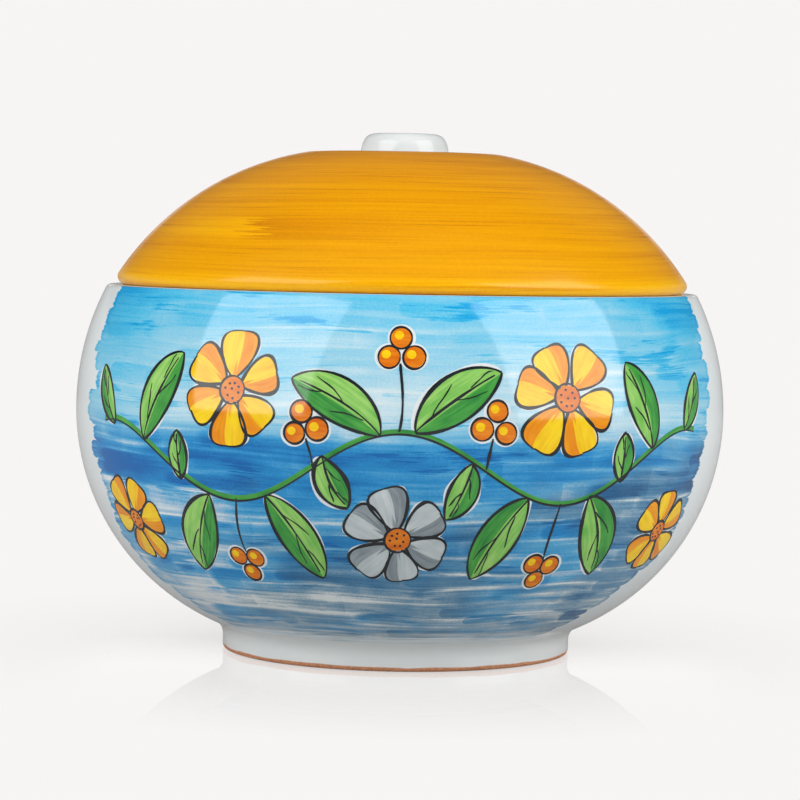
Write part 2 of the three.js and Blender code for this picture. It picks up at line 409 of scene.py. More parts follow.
def under_glaze(add, colour, roughness=0.08, shine=0.5):
    """A colour under clear glaze: height = swell + 0.1 × peel, as bump, over a glossy shader."""
    place = add("TexCoord").outputs["Object"]
    swell = add("TexNoise", Vector=place, Scale=1 / (SWELL * MM), Detail=1.0)
    peel = add("TexNoise", Vector=place, Scale=1 / (PEEL * MM), Detail=0.0)
    height = add("Math MULTIPLY_ADD", peel, 0.1, swell)
    relief = add("Bump", Strength=0.6, Distance=RELIEF * MM, Height=height)
    feeds = {"Base Color": colour, "Specular IOR Level": shine, "Normal": relief}
    shader = add("BsdfPrincipled", Roughness=roughness, IOR=GLASS_IOR, **feeds)
    add("OutputMaterial", Surface=shader)


# Tin-white glaze on earthenware: a soft white that is greyer where the coat runs thin.
white, add = new_finish("tin_white_glaze")
place = add("TexCoord").outputs["Object"]
cloud = add("TexNoise", Vector=place, Scale=1 / (CLOUDS * MM), Detail=2.0)
under_glaze(add, add("ValToRGB", cloud, stops=[(0.25, "#DAE0E0"), (0.75, "#E8EDED")]))
print("finish:", white.name)

# %% [markdown]
# ## Wiped edges
# Where the foot stands on the kiln shelf, and where the lid stood while it was fired, the glaze was
# wiped off and the red-brown clay shows. One material does both: a height decides where the glaze
# ends, and noise makes that line as uneven as a sponge leaves it.

# %% White glaze that ends above a bare edge
SPONGE, SPONGE_WAVE = 1.3, 14.0  # mm that the wiped line sinks, and between its waves
GRAIN = 0.9  # mm between the grains of the clay
SEAM_LOW, SEAM_HIGH = 0.85, 0.45  # mm below the line where glaze begins and is full
FOOT_BARE, FLANGE_BARE = 1.75, 1.6  # mm of bare clay on each ring


def wiped_glaze(name, line):
    """White glaze, painted a little lighter to lift the shaded foot, above a height in millimetres,
    rough bare clay below it, with a ragged border.
    """
    material, add = new_finish(name)
    place = add("TexCoord").outputs["Object"]
    height = add("SeparateXYZ", place).outputs["Z"]
    ragged = add("TexNoise", Vector=place, Scale=1 / (SPONGE_WAVE * MM), Detail=2.0)
    level = add("Math MULTIPLY_ADD", ragged, -SPONGE * MM, height)
    glazed = add("MapRange SMOOTHSTEP", level, (line - SEAM_LOW) * MM, (line - SEAM_HIGH) * MM)
    grain = add("TexNoise", Vector=place, Scale=1 / (GRAIN * MM), Detail=3.0)
    clay = add("ValToRGB", grain, stops=[(0.3, "#BB7A52"), (0.7, "#E3A47C")])
    # The white here is a little lighter than the tin-white glaze: painted light that lifts the shade
    # on the foot.
    colour = add("Mix RGBA", glazed, A_Color=clay, B_Color=linear("#EDF1F0"))
    under_glaze(add, colour, add("MapRange", glazed, 0.0, 1.0, 0.85, 0.1))
    return material


wiped_foot = wiped_glaze("wiped_white_glaze_on_foot", FOOT_BARE)
wiped_flange = wiped_glaze("wiped_white_glaze_on_flange", flange_bottom + FLANGE_BARE)
print("finishes:", wiped_foot.name, wiped_flange.name)

# %% [markdown]
# ## Wheel coordinates
# Brush strokes follow the turning wheel, so their pattern needs two lengths measured on the surface:
# how far round the axis, and how far up the profile. Both follow from Object coordinates: the azimuth
# times the widest radius, and the angle round the profile's own centre times the profile's radius.

# %% Millimetres round the axis and up the profile
SWAY = (1 / 95, 1 / 40, 1 / 95)  # waves of an unsteady hand in a mm, round the axis and up


def on_wheel(add, girth, centre, curve, endless=False):
    """(azimuth × girth, angle round the profile's centre × curve, 0) in millimetres.

    Endless: (girth × sin azimuth, the same height, girth × cos azimuth), with no seam at the back.
    """
    place = add("TexCoord").outputs["Object"]
    height = add("SeparateXYZ", place).outputs["Z"]
    flat = add("VectorMath MULTIPLY", place, (1, -1, 0))
    outwards = add("Math SUBTRACT", add("VectorMath LENGTH", flat), centre[0] * MM)
    upwards = add("Math SUBTRACT", height, centre[1] * MM)
    angle = add("Math ARCTAN2", upwards, outwards)
    sine, cosine, _ = add("SeparateXYZ", add("VectorMath NORMALIZE", flat)).outputs
    if endless:
        both = add("CombineXYZ", sine, angle, cosine)
    else:
        both = add("CombineXYZ", add("Math ARCTAN2", sine, cosine), angle)
    return add("VectorMath MULTIPLY", both, (girth, curve, girth))


def hand_sway(add, place, swing):
    """Lets level strokes rise and fall by a hand's unsteadiness: y + swing × slow noise."""
    slow = add("VectorMath MULTIPLY", place, SWAY)
    noise = add("TexNoise", Vector=slow, Scale=1.0, Detail=1.0)
    lift = add("CombineXYZ", 0.0, add("Math MULTIPLY", noise, swing))
    return add("VectorMath ADD", place, lift)


# %% [markdown]
# ## Brush strokes
# A flat brush full of thin colour leaves a band as high as the brush is wide. It starts full and
# blunt, dries along its length, and where two bands don't quite meet, a pale line stays between them.
# A coat of such strokes is a pattern of bands cut into lengths, each with its own random shift and
# strength. Coats over each other, with the streaks of single bristles, give the wash of hand-painted
# pottery.

# %% One coat of brush strokes
def blunt_end(add, level, height):
    """How far each bristle of a band lags behind the middle one, and its squared place across it.

    The middle of the brush touches first: lag = height / 2 × (sqrt(1 - across²) - 1).
    """
    across = add("Math MULTIPLY_ADD", level, 2.0, -1.0)
    square = add("Math MULTIPLY", across, across)
    chord = add("Math SQRT", add("Math SUBTRACT", 1.0, square))
    return add("Math MULTIPLY_ADD", chord, height / 2, -height / 2), square


def brush_coat(add, place, height, length, seed):
    """Density of colour: bands of one height, cut into strokes that start full and dry out."""
    cells, start = (1 / length, 1 / height, 0), (seed * 0.37, seed * 0.61, 0)
    cell = add("VectorMath MULTIPLY_ADD", place, cells, start)
    run, rise, _ = add("SeparateXYZ", cell).outputs
    row, level = add("Math FLOOR", rise), add("Math FRACT", rise)
    shift = add("TexWhiteNoise 1D", W=add("Math ADD", row, seed * 17.3))
    run = add("Math ADD", run, shift)
    number, share = add("Math FLOOR", run), add("Math FRACT", run)
    chance = add("TexWhiteNoise 3D", Vector=add("CombineXYZ", row, number, seed))

    cap, square = blunt_end(add, level, height)
    behind = add("Math MULTIPLY_ADD", share, length, cap)
    soft = add("MapRange", chance, 0.5, 0.95, length / 6, 1.2)
    laid = add("MapRange SMOOTHSTEP", behind, 0.0, soft)
    dry = add("MapRange", share, 0.04, 0.9, 1.0, 0.28)
    strength = add("MapRange", chance, 0.0, 1.0, 0.45, 1.05)
    body = add("Math MULTIPLY", add("Math MULTIPLY", dry, strength), laid)

    # Between bands the strokes lap over each other in a darker line, or part and leave a pale one.
    slow = add("VectorMath MULTIPLY_ADD", place, (1 / 52, 1 / 9, 0), (0, 0, seed))
    open_here = add("TexNoise", Vector=slow, Scale=1.0, Detail=1.0)
    gate = add("MapRange", open_here, 0.42, 0.6, 0.12, -0.6)
    brim = add("MapRange SMOOTHSTEP", square, 0.3, 0.95)
    return add("Math MULTIPLY_ADD", gate, brim, body)


def bristles(add, place, long, fine, seed):
    """Streaks that bristles leave: noise stretched to `long` by `fine` millimetres, 0 to 1."""
    sizes = (1 / long, 1 / fine, 1 / long)
    stretched = add("VectorMath MULTIPLY_ADD", place, sizes, (0, 0, seed))
    return add("TexNoise", Vector=stretched, Scale=1.0, Detail=3.0, Roughness=0.6)


def streaked(add, place, total, layers):
    """total + weight × (streaks - 0.5), for layers of a length, height, seed and weight each."""
    for long, fine, seed, weight in layers:
        streak = add("Math SUBTRACT", bristles(add, place, long, fine, seed), 0.5)
        total = add("Math MULTIPLY_ADD", streak, weight, total)
    return total


def summed(add, total, parts):
    """The total and all the parts, added up."""
    for part in parts:
        total = add("Math ADD", total, part)
    return total


# %% [markdown]
# ## The blue wash
# The front of the bowl is washed in blue: pale and watery under the rim, deeper from the belly down,
# a little clearer on the left, and thin again towards the foot. Its ends, left and right, are as
# ragged as the strokes that made them, and the rest of the bowl stays white. The density of the coats
# picks the colour from ramps.

# %% Density of the wash
# Height and length of a stroke in mm, seed and weight; for streaks the length comes first.
COATS = ((7.6, 205.0, 3, 0.4), (11.0, 260.0, 8, 0.32), (5.4, 56.0, 21, 0.22))
COAT_MEAN = 0.38
STREAKS = ((60.0, 1.1, 5, 0.36), (40.0, 3.6, 9, 0.42), (16.0, 11.0, 12, 0.34))


def wash_density(add, place, deep):
    """Coats, streaks and grain, each about its mean, and bolder where the wash is deep."""
    bold = add("MapRange", deep, 0.0, 1.0, 0.5, 1.15)
    strokes = 0.0
    for height, length, seed, weight in COATS:
        coat = add("Math SUBTRACT", brush_coat(add, place, height, length, seed), COAT_MEAN)
        strokes = add("Math MULTIPLY_ADD", coat, weight, strokes)
    strokes = streaked(add, place, strokes, STREAKS)
    grain = add("Math MULTIPLY_ADD", bristles(add, place, 0.9, 0.9, 15), 0.32, 0.14)
    total = add("Math MULTIPLY_ADD", strokes, bold, grain)

    # Full dabs of colour that were not brushed out, with the ragged ends of single bristles.
    dab = add("Math MULTIPLY", bristles(add, place, 26, 0.8, 53), 0.5)
    dab = add("Math ADD", bristles(add, place, 42, 9, 58), dab)
    full = add("MapRange SMOOTHSTEP", dab, 0.83, 0.91, 0.0, 0.28)
    lines = add("MapRange", bristles(add, place, 90, 0.6, 61), 0.58, 0.72, 0.0, 0.2)
    return summed(add, total, (lines, full))


# %% Ends of the wash
# For each end: side, mm from the front round the belly, how far its strokes differ, its lean.
PANEL = ((1.0, 140.0, 9.0, 0.0), (-1.0, 140.0, 4.0, 0.17))
PANEL_BAND = 6.6  # mm, height of the strokes that end the wash
ANYWHERE = 999.0  # mm, further inside than any place on the bowl


def wash_cover(add, place):
    """1 inside the washed panel and 0 outside it, and the darker brim that dries along its ends.

    Each band of strokes has its own blunt end; towards the foot they are shorter and thin out.
    """
    across, up, _ = add("SeparateXYZ", place).outputs
    wander = add("Math MULTIPLY_ADD", bristles(add, place, 200, 16, 71), 16.0, up)
    band = add("Math DIVIDE", wander, PANEL_BAND)
    row = add("Math FLOOR", band)
    cap, _ = blunt_end(add, add("Math FRACT", band), PANEL_BAND)
    taper = add("MapRange", up, -100.0, -45.0, -30.0, 0.0)
    inside = ANYWHERE
    for side, limit, differ, lean in PANEL:
        own = add("Math MULTIPLY_ADD", across, side, limit)
        chance = add("TexWhiteNoise 1D", W=add("Math ADD", row, side))
        comb = bristles(add, place, 12, 1.6, 35 + side)
        for pattern, weight in ((up, lean), (chance, differ), (comb, 6.0)):
            own = add("Math MULTIPLY_ADD", pattern, weight, own)
        inside = add("Math MINIMUM", own, inside)
    inside = add("Math ADD", inside, add("Math ADD", cap, taper))
    bottom = add("Math MULTIPLY_ADD", bristles(add, place, 55, 2.6, 33), 30.0, up)
    low = add("MapRange SMOOTHSTEP", bottom, -86.0, -66.0)
    end = add("MapRange SMOOTHSTEP", inside, 0.0, 1.5)
    brim = add("MapRange", inside, 0.8, 5.0, 0.2, 0.0)
    return add("Math MULTIPLY", low, end), brim


# %% Blue wash on the bowl
# Heights in mm above the belly between which the density changes, and by how much.
LEVELS = ((14.0, 46.0, 0.37), (-45.0, -72.0, -0.27), (-72.0, -86.0, 0.32))
GROUND = (0.0, "#E7EDEE")  # the white glaze, where no colour lies
PALE = (GROUND, (1.0, "#12A2DE"), (0.2, "#CBE5EF"), (0.45, "#9BD3E9"), (0.75, "#52C0E7"))
CLEAR = (GROUND, (1.0, "#0B66B0"), (0.2, "#B4CFE2"), (0.42, "#5CAEDA"), (0.7, "#248FCE"))
SLATY = (GROUND, (1.0, "#215683"), (0.2, "#A7BDC9"), (0.42, "#6A98B8"), (0.7, "#3E78A2"))

# Blue over white glaze: pale under the rim, clear or slaty blue from the belly down.
wash, add = new_finish("blue_washed_tin_glaze")
place = hand_sway(add, on_wheel(add, belly_radius, lower_centre, LOWER_CURVE), 9.0)
across, up, _ = add("SeparateXYZ", place).outputs
deep = add("MapRange SMOOTHSTEP", up, 8.0, -5.0)
cover, brim = wash_cover(add, place)
ends = add("MapRange", deep, 0.0, 1.0, 0.2, 0.04)
first = add("MapRange", up, -27.0, -7.0, 0.0, 0.27)
watery = add("MapRange", across, -105.0, -20.0, -0.07, 0.0)
parts = (
    add("MapRange", deep, 0.0, 1.0, -0.03, 0.2),
    add("Math MULTIPLY", first, deep),
    add("Math MULTIPLY", watery, deep),
    *(add("MapRange", up, start, end, 0.0, gain) for start, end, gain in LEVELS),
    add("MapRange", add("Math ABSOLUTE", across), 88.0, 122.0, 0.0, ends),
    brim,
)
density = summed(add, wash_density(add, place, deep), parts)
density = add("Math MULTIPLY", density, cover)
pale, clear, slaty = (add("ValToRGB", density, stops=s) for s in (PALE, CLEAR, SLATY))
patch = add("Math MULTIPLY_ADD", across, 0.001, bristles(add, place, 90, 38, 41))
lower_down = add("MapRange", up, -8.0, -60.0, -0.13, 0.06)
patch = summed(add, patch, (lower_down, watery))
hue = add("MapRange SMOOTHSTEP", patch, 0.4, 0.62)
lower = add("Mix RGBA", hue, A_Color=clear, B_Color=slaty)
under_glaze(add, add("Mix RGBA", deep, A_Color=pale, B_Color=lower))
print("finish:", wash.name, len(wash.node_tree.nodes), "nodes")

# %% [markdown]
# ## The orange lid
# The lid was banded on the wheel: a full brush held still while the lid turned, so its streaks run
# all the way round. The colour is a warm orange, browner round the lip where coats overlap. On the
# bead at the edge it is lighter and yellower, a painted highlight.

# %% Orange banding on the lid
LID_GIRTH = 85.0  # mm, radius at which the streaks have their length
LID_STREAKS = ((80, 1.0, 2, 0.5), (240, 4.2, 7, 0.36), (0.9, 0.9, 11, 0.24))
LAP_START = -71.0  # mm, where the first bristles of the lap begin, left of the front
LAP_HEIGHT = 88.0  # mm up the dome's profile
ORANGE = ((0.0, "#FFC410"), (1.0, "#A65C10"), (0.22, "#F6AF00"), (0.45, "#E89B00"), (0.7, "#CE7C06"))

# Orange over white glaze: streaks round the axis, a ragged lap, browner towards the lip.
banding, add = new_finish("orange_banded_glaze")
place = on_wheel(add, LID_GIRTH, dome_centre, DOME_CURVE, endless=True)
place = hand_sway(add, place, 4.0)
across, up, _ = add("SeparateXYZ", place).outputs
total = streaked(add, place, add("MapRange", up, 66.0, 160.0, 0.36, 0.51), LID_STREAKS)
brown = add("MapRange", bristles(add, place, 60, 0.8, 17), 0.57, 0.7, 0.0, 0.22)
# Lighter and yellower on the bead: a painted highlight along the lid's edge.
bead = add("MapRange", up, 67.0, 64.0, 0.0, -0.24)

# The lap, where the turning brush came round to its start: each bristle has its own beginning.
comb = add("Math MULTIPLY_ADD", bristles(add, place, 500, 1.2, 19), 46.0, LAP_START)
gone = add("Math SUBTRACT", across, comb)
begun = add("MapRange SMOOTHSTEP", gone, 0.0, 1.0)
full = add("MapRange", gone, 0.0, 50.0, 0.2, 0.05)
spent = add("MapRange", gone, -34.0, 0.0, 0.0, -0.2)
aside = add("Math ABSOLUTE", add("Math SUBTRACT", up, LAP_HEIGHT))
wide = add("MapRange", aside, 4.0, 6.5, 1.0, 0.0)
lap = add("Math MULTIPLY", add("Mix", begun, A_Float=spent, B_Float=full), wide)
total = summed(add, total, (brown, bead, lap))
under_glaze(add, add("ValToRGB", total, stops=ORANGE), roughness=0.2, shine=0.3)
print("finish:", banding.name, len(banding.node_tree.nodes), "nodes")

# %% [markdown]
# ## Which faces were painted
# The bowl is painted only on its outside, and the lid only on its dome, so each of those meshes has
# two finishes. A face belongs to the outside when its middle lies far enough from the profile's own
# centre, which is one comparison on an array of face centres.

# %% Give the turned pieces their finishes
BOWL_SKIN, DOME_SKIN = 1.5, 4.9  # mm inside the profile that still belong to the outside
RIM_MARGIN, SEAT_MARGIN, WELL_MARGIN = 0.12, 0.05, 0.2  # mm left white beside each edge


def face_middles(piece, centre):
    """Radius and height of each face's middle, and its distance from the profile's centre, in mm."""
    flat = np.empty(3 * len(piece.data.polygons), np.float32)
    piece.data.polygons.foreach_get("center", flat)
    x, y, z = flat.reshape(-1, 3).T / MM
    radius = np.hypot(x, y)
    return radius, z, np.hypot(radius - centre[0], z - centre[1])


def finish(piece, materials, choice=None):
    """Puts materials on a piece, with one index for each face where there are several."""
    for material in materials:
        piece.data.materials.append(material)
    if choice is not None:
        piece.data.polygons.foreach_set("material_index", choice.astype(np.int32))
    piece.data.update()


_, height, away = face_middles(bowl, lower_centre)
outside = (away > LOWER_CURVE - BOWL_SKIN) & (height < rim_height - RIM_MARGIN)
finish(bowl, [white, wash], outside)

radius, height, away = face_middles(lid, dome_centre)
on_dome = (away > DOME_CURVE - DOME_SKIN) & (height > rim_height + SEAT_MARGIN)
on_dome &= radius > WELL_RADIUS + WELL_MARGIN
finish(lid, [white, banding], on_dome)

finish(foot, [wiped_foot])
finish(flange, [wiped_flange])
finish(knob, [white])
print(f"painted faces: bowl {outside.sum()}, lid {on_dome.sum()}")

# %% [markdown]
# ## Painted marks
# The decoration is brushwork: a garland with blossoms, leaves and berries, each filled in one colour,
# shaded in a second and drawn round in black. Colour on glaze has almost no thickness, so every mark
# is a thin closed strip that follows the bowl, a few hundredths of a millimetre proud, with its edges
# sunk into the glaze. Its normals are borrowed from the bowl, so light runs over it without a step.
# The marks are laid out flat, in millimetres round the belly and up the profile, and then wrapped.

# %% Wrap flat drawings round the bowl
def on_bowl(place, lift):
    """Azimuth = x / belly radius; angle up the profile = y / its curve; lifted along the normal."""
    azimuth, up = place[..., 0] / belly_radius, place[..., 1]
    curve = np.where(up < 0, LOWER_CURVE, SHOULDER_CURVE)
    angle = up / curve
    outwards = np.stack([np.sin(azimuth), -np.cos(azimuth), np.zeros_like(up)], axis=-1)
    upwards = np.array([0.0, 0.0, 1.0])
    normal = np.cos(angle)[..., None] * outwards + np.sin(angle)[..., None] * upwards
    centre = (belly_radius - curve)[..., None] * outwards + belly_height * upwards
    return centre + (curve + lift)[..., None] * normal, normal


# %% Sweep brush marks along their paths
SECTION = np.array([-1.0, -0.93, -0.45, 0.0, 0.45, 0.93, 1.0])  # places across a mark
TOP = np.abs(SECTION) < 0.99
SUNK = 0.15  # mm, how deep the edges lie in the glaze
STACK = 0.0008  # mm between marks of one layer, so that no two share a face
rng = np.random.default_rng(11)


def left_of(path):
    """Unit vectors to the left of each path: the direction of travel turned by a quarter."""
    step = np.gradient(path, axis=1)
    step /= np.linalg.norm(step, axis=2, keepdims=True)
    return np.stack([-step[..., 1], step[..., 0]], axis=2)


def brush_marks(name, sets):
    """Closed strips: path + section × half width × across, lifted inside and sunk at the edges."""
    points, normals, strokes, quads, caps = [], [], [], [], []
    first, sides = 0, len(SECTION)
    for path, half, lift, across in sets:
        count = len(half)
        offset = half[..., None] * SECTION
        place = path[:, :, None, :] + offset[..., None] * across[:, :, None, :]
        layer = lift + STACK * np.arange(count)[:, None, None]
        point, normal = on_bowl(place, np.where(TOP, layer, -SUNK) * np.ones_like(offset))
        step = np.linalg.norm(np.diff(path, axis=1, prepend=path[:, :1]), axis=2)
        along = np.cumsum(step, axis=1)[..., None] * np.ones(sides)
        chance = rng.random((count, 1, 1)) * np.ones_like(offset)
        number = first + np.arange(offset.size).reshape(offset.shape)
        turn = np.roll(number, -1, axis=2)
        faces = [number[:, :-1], number[:, 1:], turn[:, 1:], turn[:, :-1]]
        quads.append(np.stack(faces, axis=3).reshape(-1, 4))
        caps += [number[:, 0], number[:, -1, ::-1]]
        points.append(point.reshape(-1, 3))
        normals.append(normal.reshape(-1, 3))
        strokes.append(np.stack([along, offset, chance], axis=3).reshape(-1, 3))
        first += offset.size
    quads, caps, normals = np.vstack(quads), np.vstack(caps), np.vstack(normals)
    piece = new_piece(name, np.vstack(points), quads.tolist() + caps.tolist())
    stroke = piece.data.attributes.new("stroke", "FLOAT_VECTOR", "POINT")
    stroke.data.foreach_set("vector", np.vstack(strokes).astype(np.float32).ravel())
    shown = (np.arange(len(quads)) % sides != sides - 1)[:, None, None]
    corners = [(normals[quads] * shown).reshape(-1, 3), np.zeros((caps.size, 3))]
    piece.data.normals_split_custom_set(np.concatenate(corners).tolist())
    return piece


# %% [markdown]
# ## Strokes of a brush
# Leaves, petals and lines are all one kind of thing: a middle line that curls a little, and a width
# that swells and tapers along it. A list for each colour collects the marks, with the height at which
# they lie over each other: white reserve, fill, shade, line.

# %% Middle lines, widths and the lists of marks
RESERVE, FILL, SHADE, LINE, DAB = 0.03, 0.055, 0.08, 0.11, 0.14  # lift of each layer, mm
HAIR = 0.07  # mm, half the width of the thinnest mark
marks = defaultdict(list)


def heading(angle):
    """Unit vectors (cos, sin) of angles in radians."""
    return np.stack([np.cos(angle), np.sin(angle)], axis=-1)


def shares(steps):
    """Places from 0 to 1 that crowd towards both ends, (1 - cos) / 2, so that tips come out round."""
    return (1 - np.cos(np.linspace(0, np.pi, steps))) / 2


def blade(base, angle, length, curl, steps=24):
    """At share f a blade is length × f from its base, in direction angle + curl × f / 2."""
    share = shares(steps)
    bearing = np.radians(angle[:, None] + curl[:, None] * share / 2)
    return base[:, None, :] + (length[:, None] * share)[..., None] * heading(bearing)


def swell(steps, rise, fall):
    """share ** rise × (1 - share) ** fall, brought to a peak of 1: thin at both ends."""
    share, both = shares(steps), rise + fall
    return share**rise * (1 - share) ** fall / ((rise / both) ** rise * (fall / both) ** fall)


def beside(path, left, width):
    """The path moved to its left by a width."""
    return path + left * width[..., None]


def lay(colour, path, half, lift, across=None):
    """Adds marks of one colour; a width of nothing becomes a hair's, so that no face is empty."""
    across = left_of(path) if across is None else across
    marks[colour].append((path, np.maximum(half, HAIR), lift, across))


def uneven(count, steps):
    """Width of the white that the wash leaves round a motif: 0.9 mm, give or take a slow wave."""
    phase = rng.random((2, count, 1)) * 2 * np.pi
    share = np.linspace(0, 1, steps)
    return 0.9 + 0.5 * np.sin(5 * share + phase[0]) + 0.35 * np.sin(13 * share + phase[1])


def draw(path, thick, lift=LINE):
    """Black lines: the brush presses in the middle, trembles a little and is never twice as full."""
    count, steps = path.shape[:2]
    share = np.linspace(0, 1, steps)
    phase = rng.random((2, count, 1)) * 2 * np.pi
    press = 0.55 + 0.45 * np.sin(np.pi * share) ** 0.6
    tremble = 1 + 0.22 * np.sin(9 * share + phase[0]) + 0.12 * np.sin(21 * share + phase[1])
    full = 0.8 + 0.4 * rng.random((count, 1))
    stray = 0.22 * np.sin(7 * share + phase[1])[..., None] * left_of(path)
    lay("line", path + stray, thick * press * tremble * full, lift)


def fill_in(middle, half, colour, stray, shift, share, thick):
    """A white reserve, a fill, a shade to one side of its middle, and a black line on both edges."""
    left = left_of(middle)
    lay("reserve", beside(middle, left, stray), half + uneven(*half.shape), RESERVE)
    lay(colour, middle, half, FILL)
    lay(colour + "_shade", beside(middle, left, shift * half), share * half, SHADE, left)
    for side in (-1.0, 1.0):
        draw(beside(middle, left, side * half), thick)
    return left


# %% [markdown]
# ## The garland
# One wavy stem crosses the front. Blossoms fill the bays of the wave on alternate sides, pairs of
# leaves spring from its crests, and berries hang between them. The left half is the right one turned
# over, and small random changes keep the two from matching, as a hand would.

# %% Draw the stem
STEM_LEVEL, STEM_SWING, STEM_WAVE, STEM_REACH = -14.0, 13.0, 124.0, 131.0  # mm
STEM_STEPS = 150

stem_x = np.linspace(-STEM_REACH, STEM_REACH, STEM_STEPS)
stem_y = STEM_LEVEL + STEM_SWING * np.cos(2 * np.pi * stem_x / STEM_WAVE)
stem = np.stack([stem_x, stem_y], axis=1)[None]
lay("leaf_shade", stem, np.full((1, STEM_STEPS), 1.05), FILL)
draw(stem + [0, -0.9], 0.42)
print(f"stem {2 * STEM_REACH:.0f} mm long, round the belly")

# %% Draw the leaves
LEAVES = np.array(  # x, y, direction, length, half width, curl
    [
        (6, -1, 48, 37, 8.0, -26),
        (50, -26, 232, 37, 8.0, 24),
        (74, -25, 308, 37, 8.0, -24),
        (104, -8, 104, 36, 7.6, 26),
        (27, -11, 262, 21, 5.4, -24),
        (88, -20, 97, 17, 4.4, -12),
        (124, -2, 52, 22, 5.4, 20),
    ]
)
TURNED_OVER = LEAVES * [-1, 1, -1, 1, 1, -1] + [0, 0, 180, 0, 0, 0]
LEAF_JITTER = (0.8, 0.8, 4, 1.2, 0.3, 5)
VEINS = ((7, 1), (11, -1), (14, 1))  # step of the middle rib at which a vein starts, and its side
VEIN_STEPS = 6

# Light green with a darker half, drawn round, a middle rib and three short veins.
rows = np.vstack([LEAVES, TURNED_OVER])
rows = rows + rng.normal(0, 1, rows.shape) * LEAF_JITTER
middle = blade(rows[:, :2], rows[:, 2], rows[:, 3], rows[:, 5])
half = rows[:, 4:5] * swell(middle.shape[1], 0.8, 0.75)
shift = rng.choice([-1.0, 1.0], (len(rows), 1)) * 0.56
stray = rng.normal(0, 0.7, (len(rows), 1))
left = fill_in(middle, half, "leaf", stray, shift, 0.42, 0.62)
draw(middle[:, :-4], 0.42)
for start, side in VEINS:
    part = slice(start, start + VEIN_STEPS)
    width = side * half[:, part] * np.linspace(0.05, 0.62, VEIN_STEPS)
    draw(beside(middle[:, part], left[:, part], width), 0.3)
print(len(rows), "leaves")

# %% Draw the blossoms
GREY_BLOSSOM = np.array([(0, -41, 20.0)])  # x, y, radius
BLOSSOMS = np.array([(62, 11, 20.5), (-62, 12, 20), (121, -41, 17), (-121, -40, 17)])
PETALS, SEEDS = 6, 7
THROAT = 11  # steps of a petal, from the heart, that have a second shade


def circles(middles, radius, steps=17):
    """Round dabs: along a diameter, half width = sqrt(r² - x²)."""
    across = -np.cos(np.linspace(0, np.pi, steps))
    path = middles[:, None] + (radius[:, None] * across)[..., None] * [1, 0]
    return path, radius[:, None] * np.sqrt(1 - across**2)


def rings(middles, radius, steps):
    """Closed circles to draw along: middle + radius × (cos, sin)."""
    return middles[:, None] + radius[:, None, None] * heading(np.linspace(0, 2 * np.pi, steps))


def draw_blossoms(rows, colour):
    """Six broad petals, shaded on one side, drawn round in black, and a dotted heart."""
    hearts, sizes = rows[:, :2], rows[:, 2]
    turns = rng.random(len(rows)) * 60
    angle = (turns[:, None] + np.arange(PETALS) * 360 / PETALS).ravel()
    angle = angle + rng.normal(0, 2.4, len(angle))
    size = np.repeat(sizes, PETALS) * (1 + rng.normal(0, 0.06, len(angle)))
    base = heading(np.radians(angle)) * (0.16 * size)[:, None]
    base = np.repeat(hearts, PETALS, axis=0) + base
    middle = blade(base, angle, 0.84 * size, rng.normal(0, 5, len(angle)))
    half = 0.365 * size[:, None] * swell(middle.shape[1], 0.9, 0.3)
    fill_in(middle, half, colour, np.zeros((1, 1)), -0.58, 0.4, 0.58)
    throat = 0.3 * half[:, :THROAT] * swell(THROAT, 0.4, 0.8)
    lay(colour + "_shade", middle[:, :THROAT], throat, SHADE + 0.01)
    lay("berry", *circles(hearts, 0.24 * sizes), DAB)
    draw(rings(hearts, 0.25 * sizes, 30), 0.5, DAB + 0.02)
    turn = np.radians(turns[:, None] + np.arange(SEEDS) * 360 / SEEDS)
    seeds = hearts[:, None] + (0.14 * sizes)[:, None, None] * heading(turn)
    seeds = np.concatenate([seeds, hearts[:, None]], axis=1)
    seeds = (seeds + rng.normal(0, 0.25, seeds.shape)).reshape(-1, 2)
    lay("line", *circles(seeds, np.full(len(seeds), 0.5), 9), DAB + 0.03)


draw_blossoms(GREY_BLOSSOM, "grey")
draw_blossoms(BLOSSOMS, "petal")
print(1 + len(BLOSSOMS), "blossoms of", PETALS, "petals")

# %% Draw the berries
SPRIGS = np.array(  # x and y where a stalk starts, and where it ends
    [(0, -1, 0, 23), (62, -27, 61, -50), (-62, -27, -63, -49), (31, -14, 33, -3), (-31, -14, -33, -4)]
)
CLUSTER = ((2.05, 0), (0.5, 0.92), (0.5, -0.92))  # places beyond the stalk and beside it
BERRY_STEP = 4.6  # mm

# Three orange berries at the end of each short stalk, with a black ring round each.
way = SPRIGS[:, 2:] - SPRIGS[:, :2]
length = np.linalg.norm(way, axis=1)
bearing = np.degrees(np.arctan2(way[:, 1], way[:, 0]))
draw(blade(SPRIGS[:, :2], bearing - 8, length, np.full(len(SPRIGS), 16.0), 12), 0.5)
unit = way / length[:, None]
aside = np.stack([-unit[:, 1], unit[:, 0]], axis=1)
middles = [SPRIGS[:, 2:] + BERRY_STEP * (unit * up + aside * out) for up, out in CLUSTER]
middles = np.concatenate(middles)
middles += rng.normal(0, 0.2, middles.shape)
radius = 3.7 + rng.random(len(middles)) * 0.4
lay("reserve", *circles(middles, radius + 1.2), RESERVE)
lay("berry", *circles(middles, radius), FILL)
lay("petal", *circles(middles + [-0.9, 0.9], radius * 0.42, 11), SHADE)
draw(rings(middles, radius, 26), 0.46)
print(len(middles), "berries")

# %% [markdown]
# ## Underglaze colours
# Each colour is a stain ground in water and laid with a round brush, so a fill shows the brush's own
# streaks along the mark and slow patches where it dried. The mark's own attribute gives the place
# along and across it in millimetres, and a random number keeps two marks from being alike.

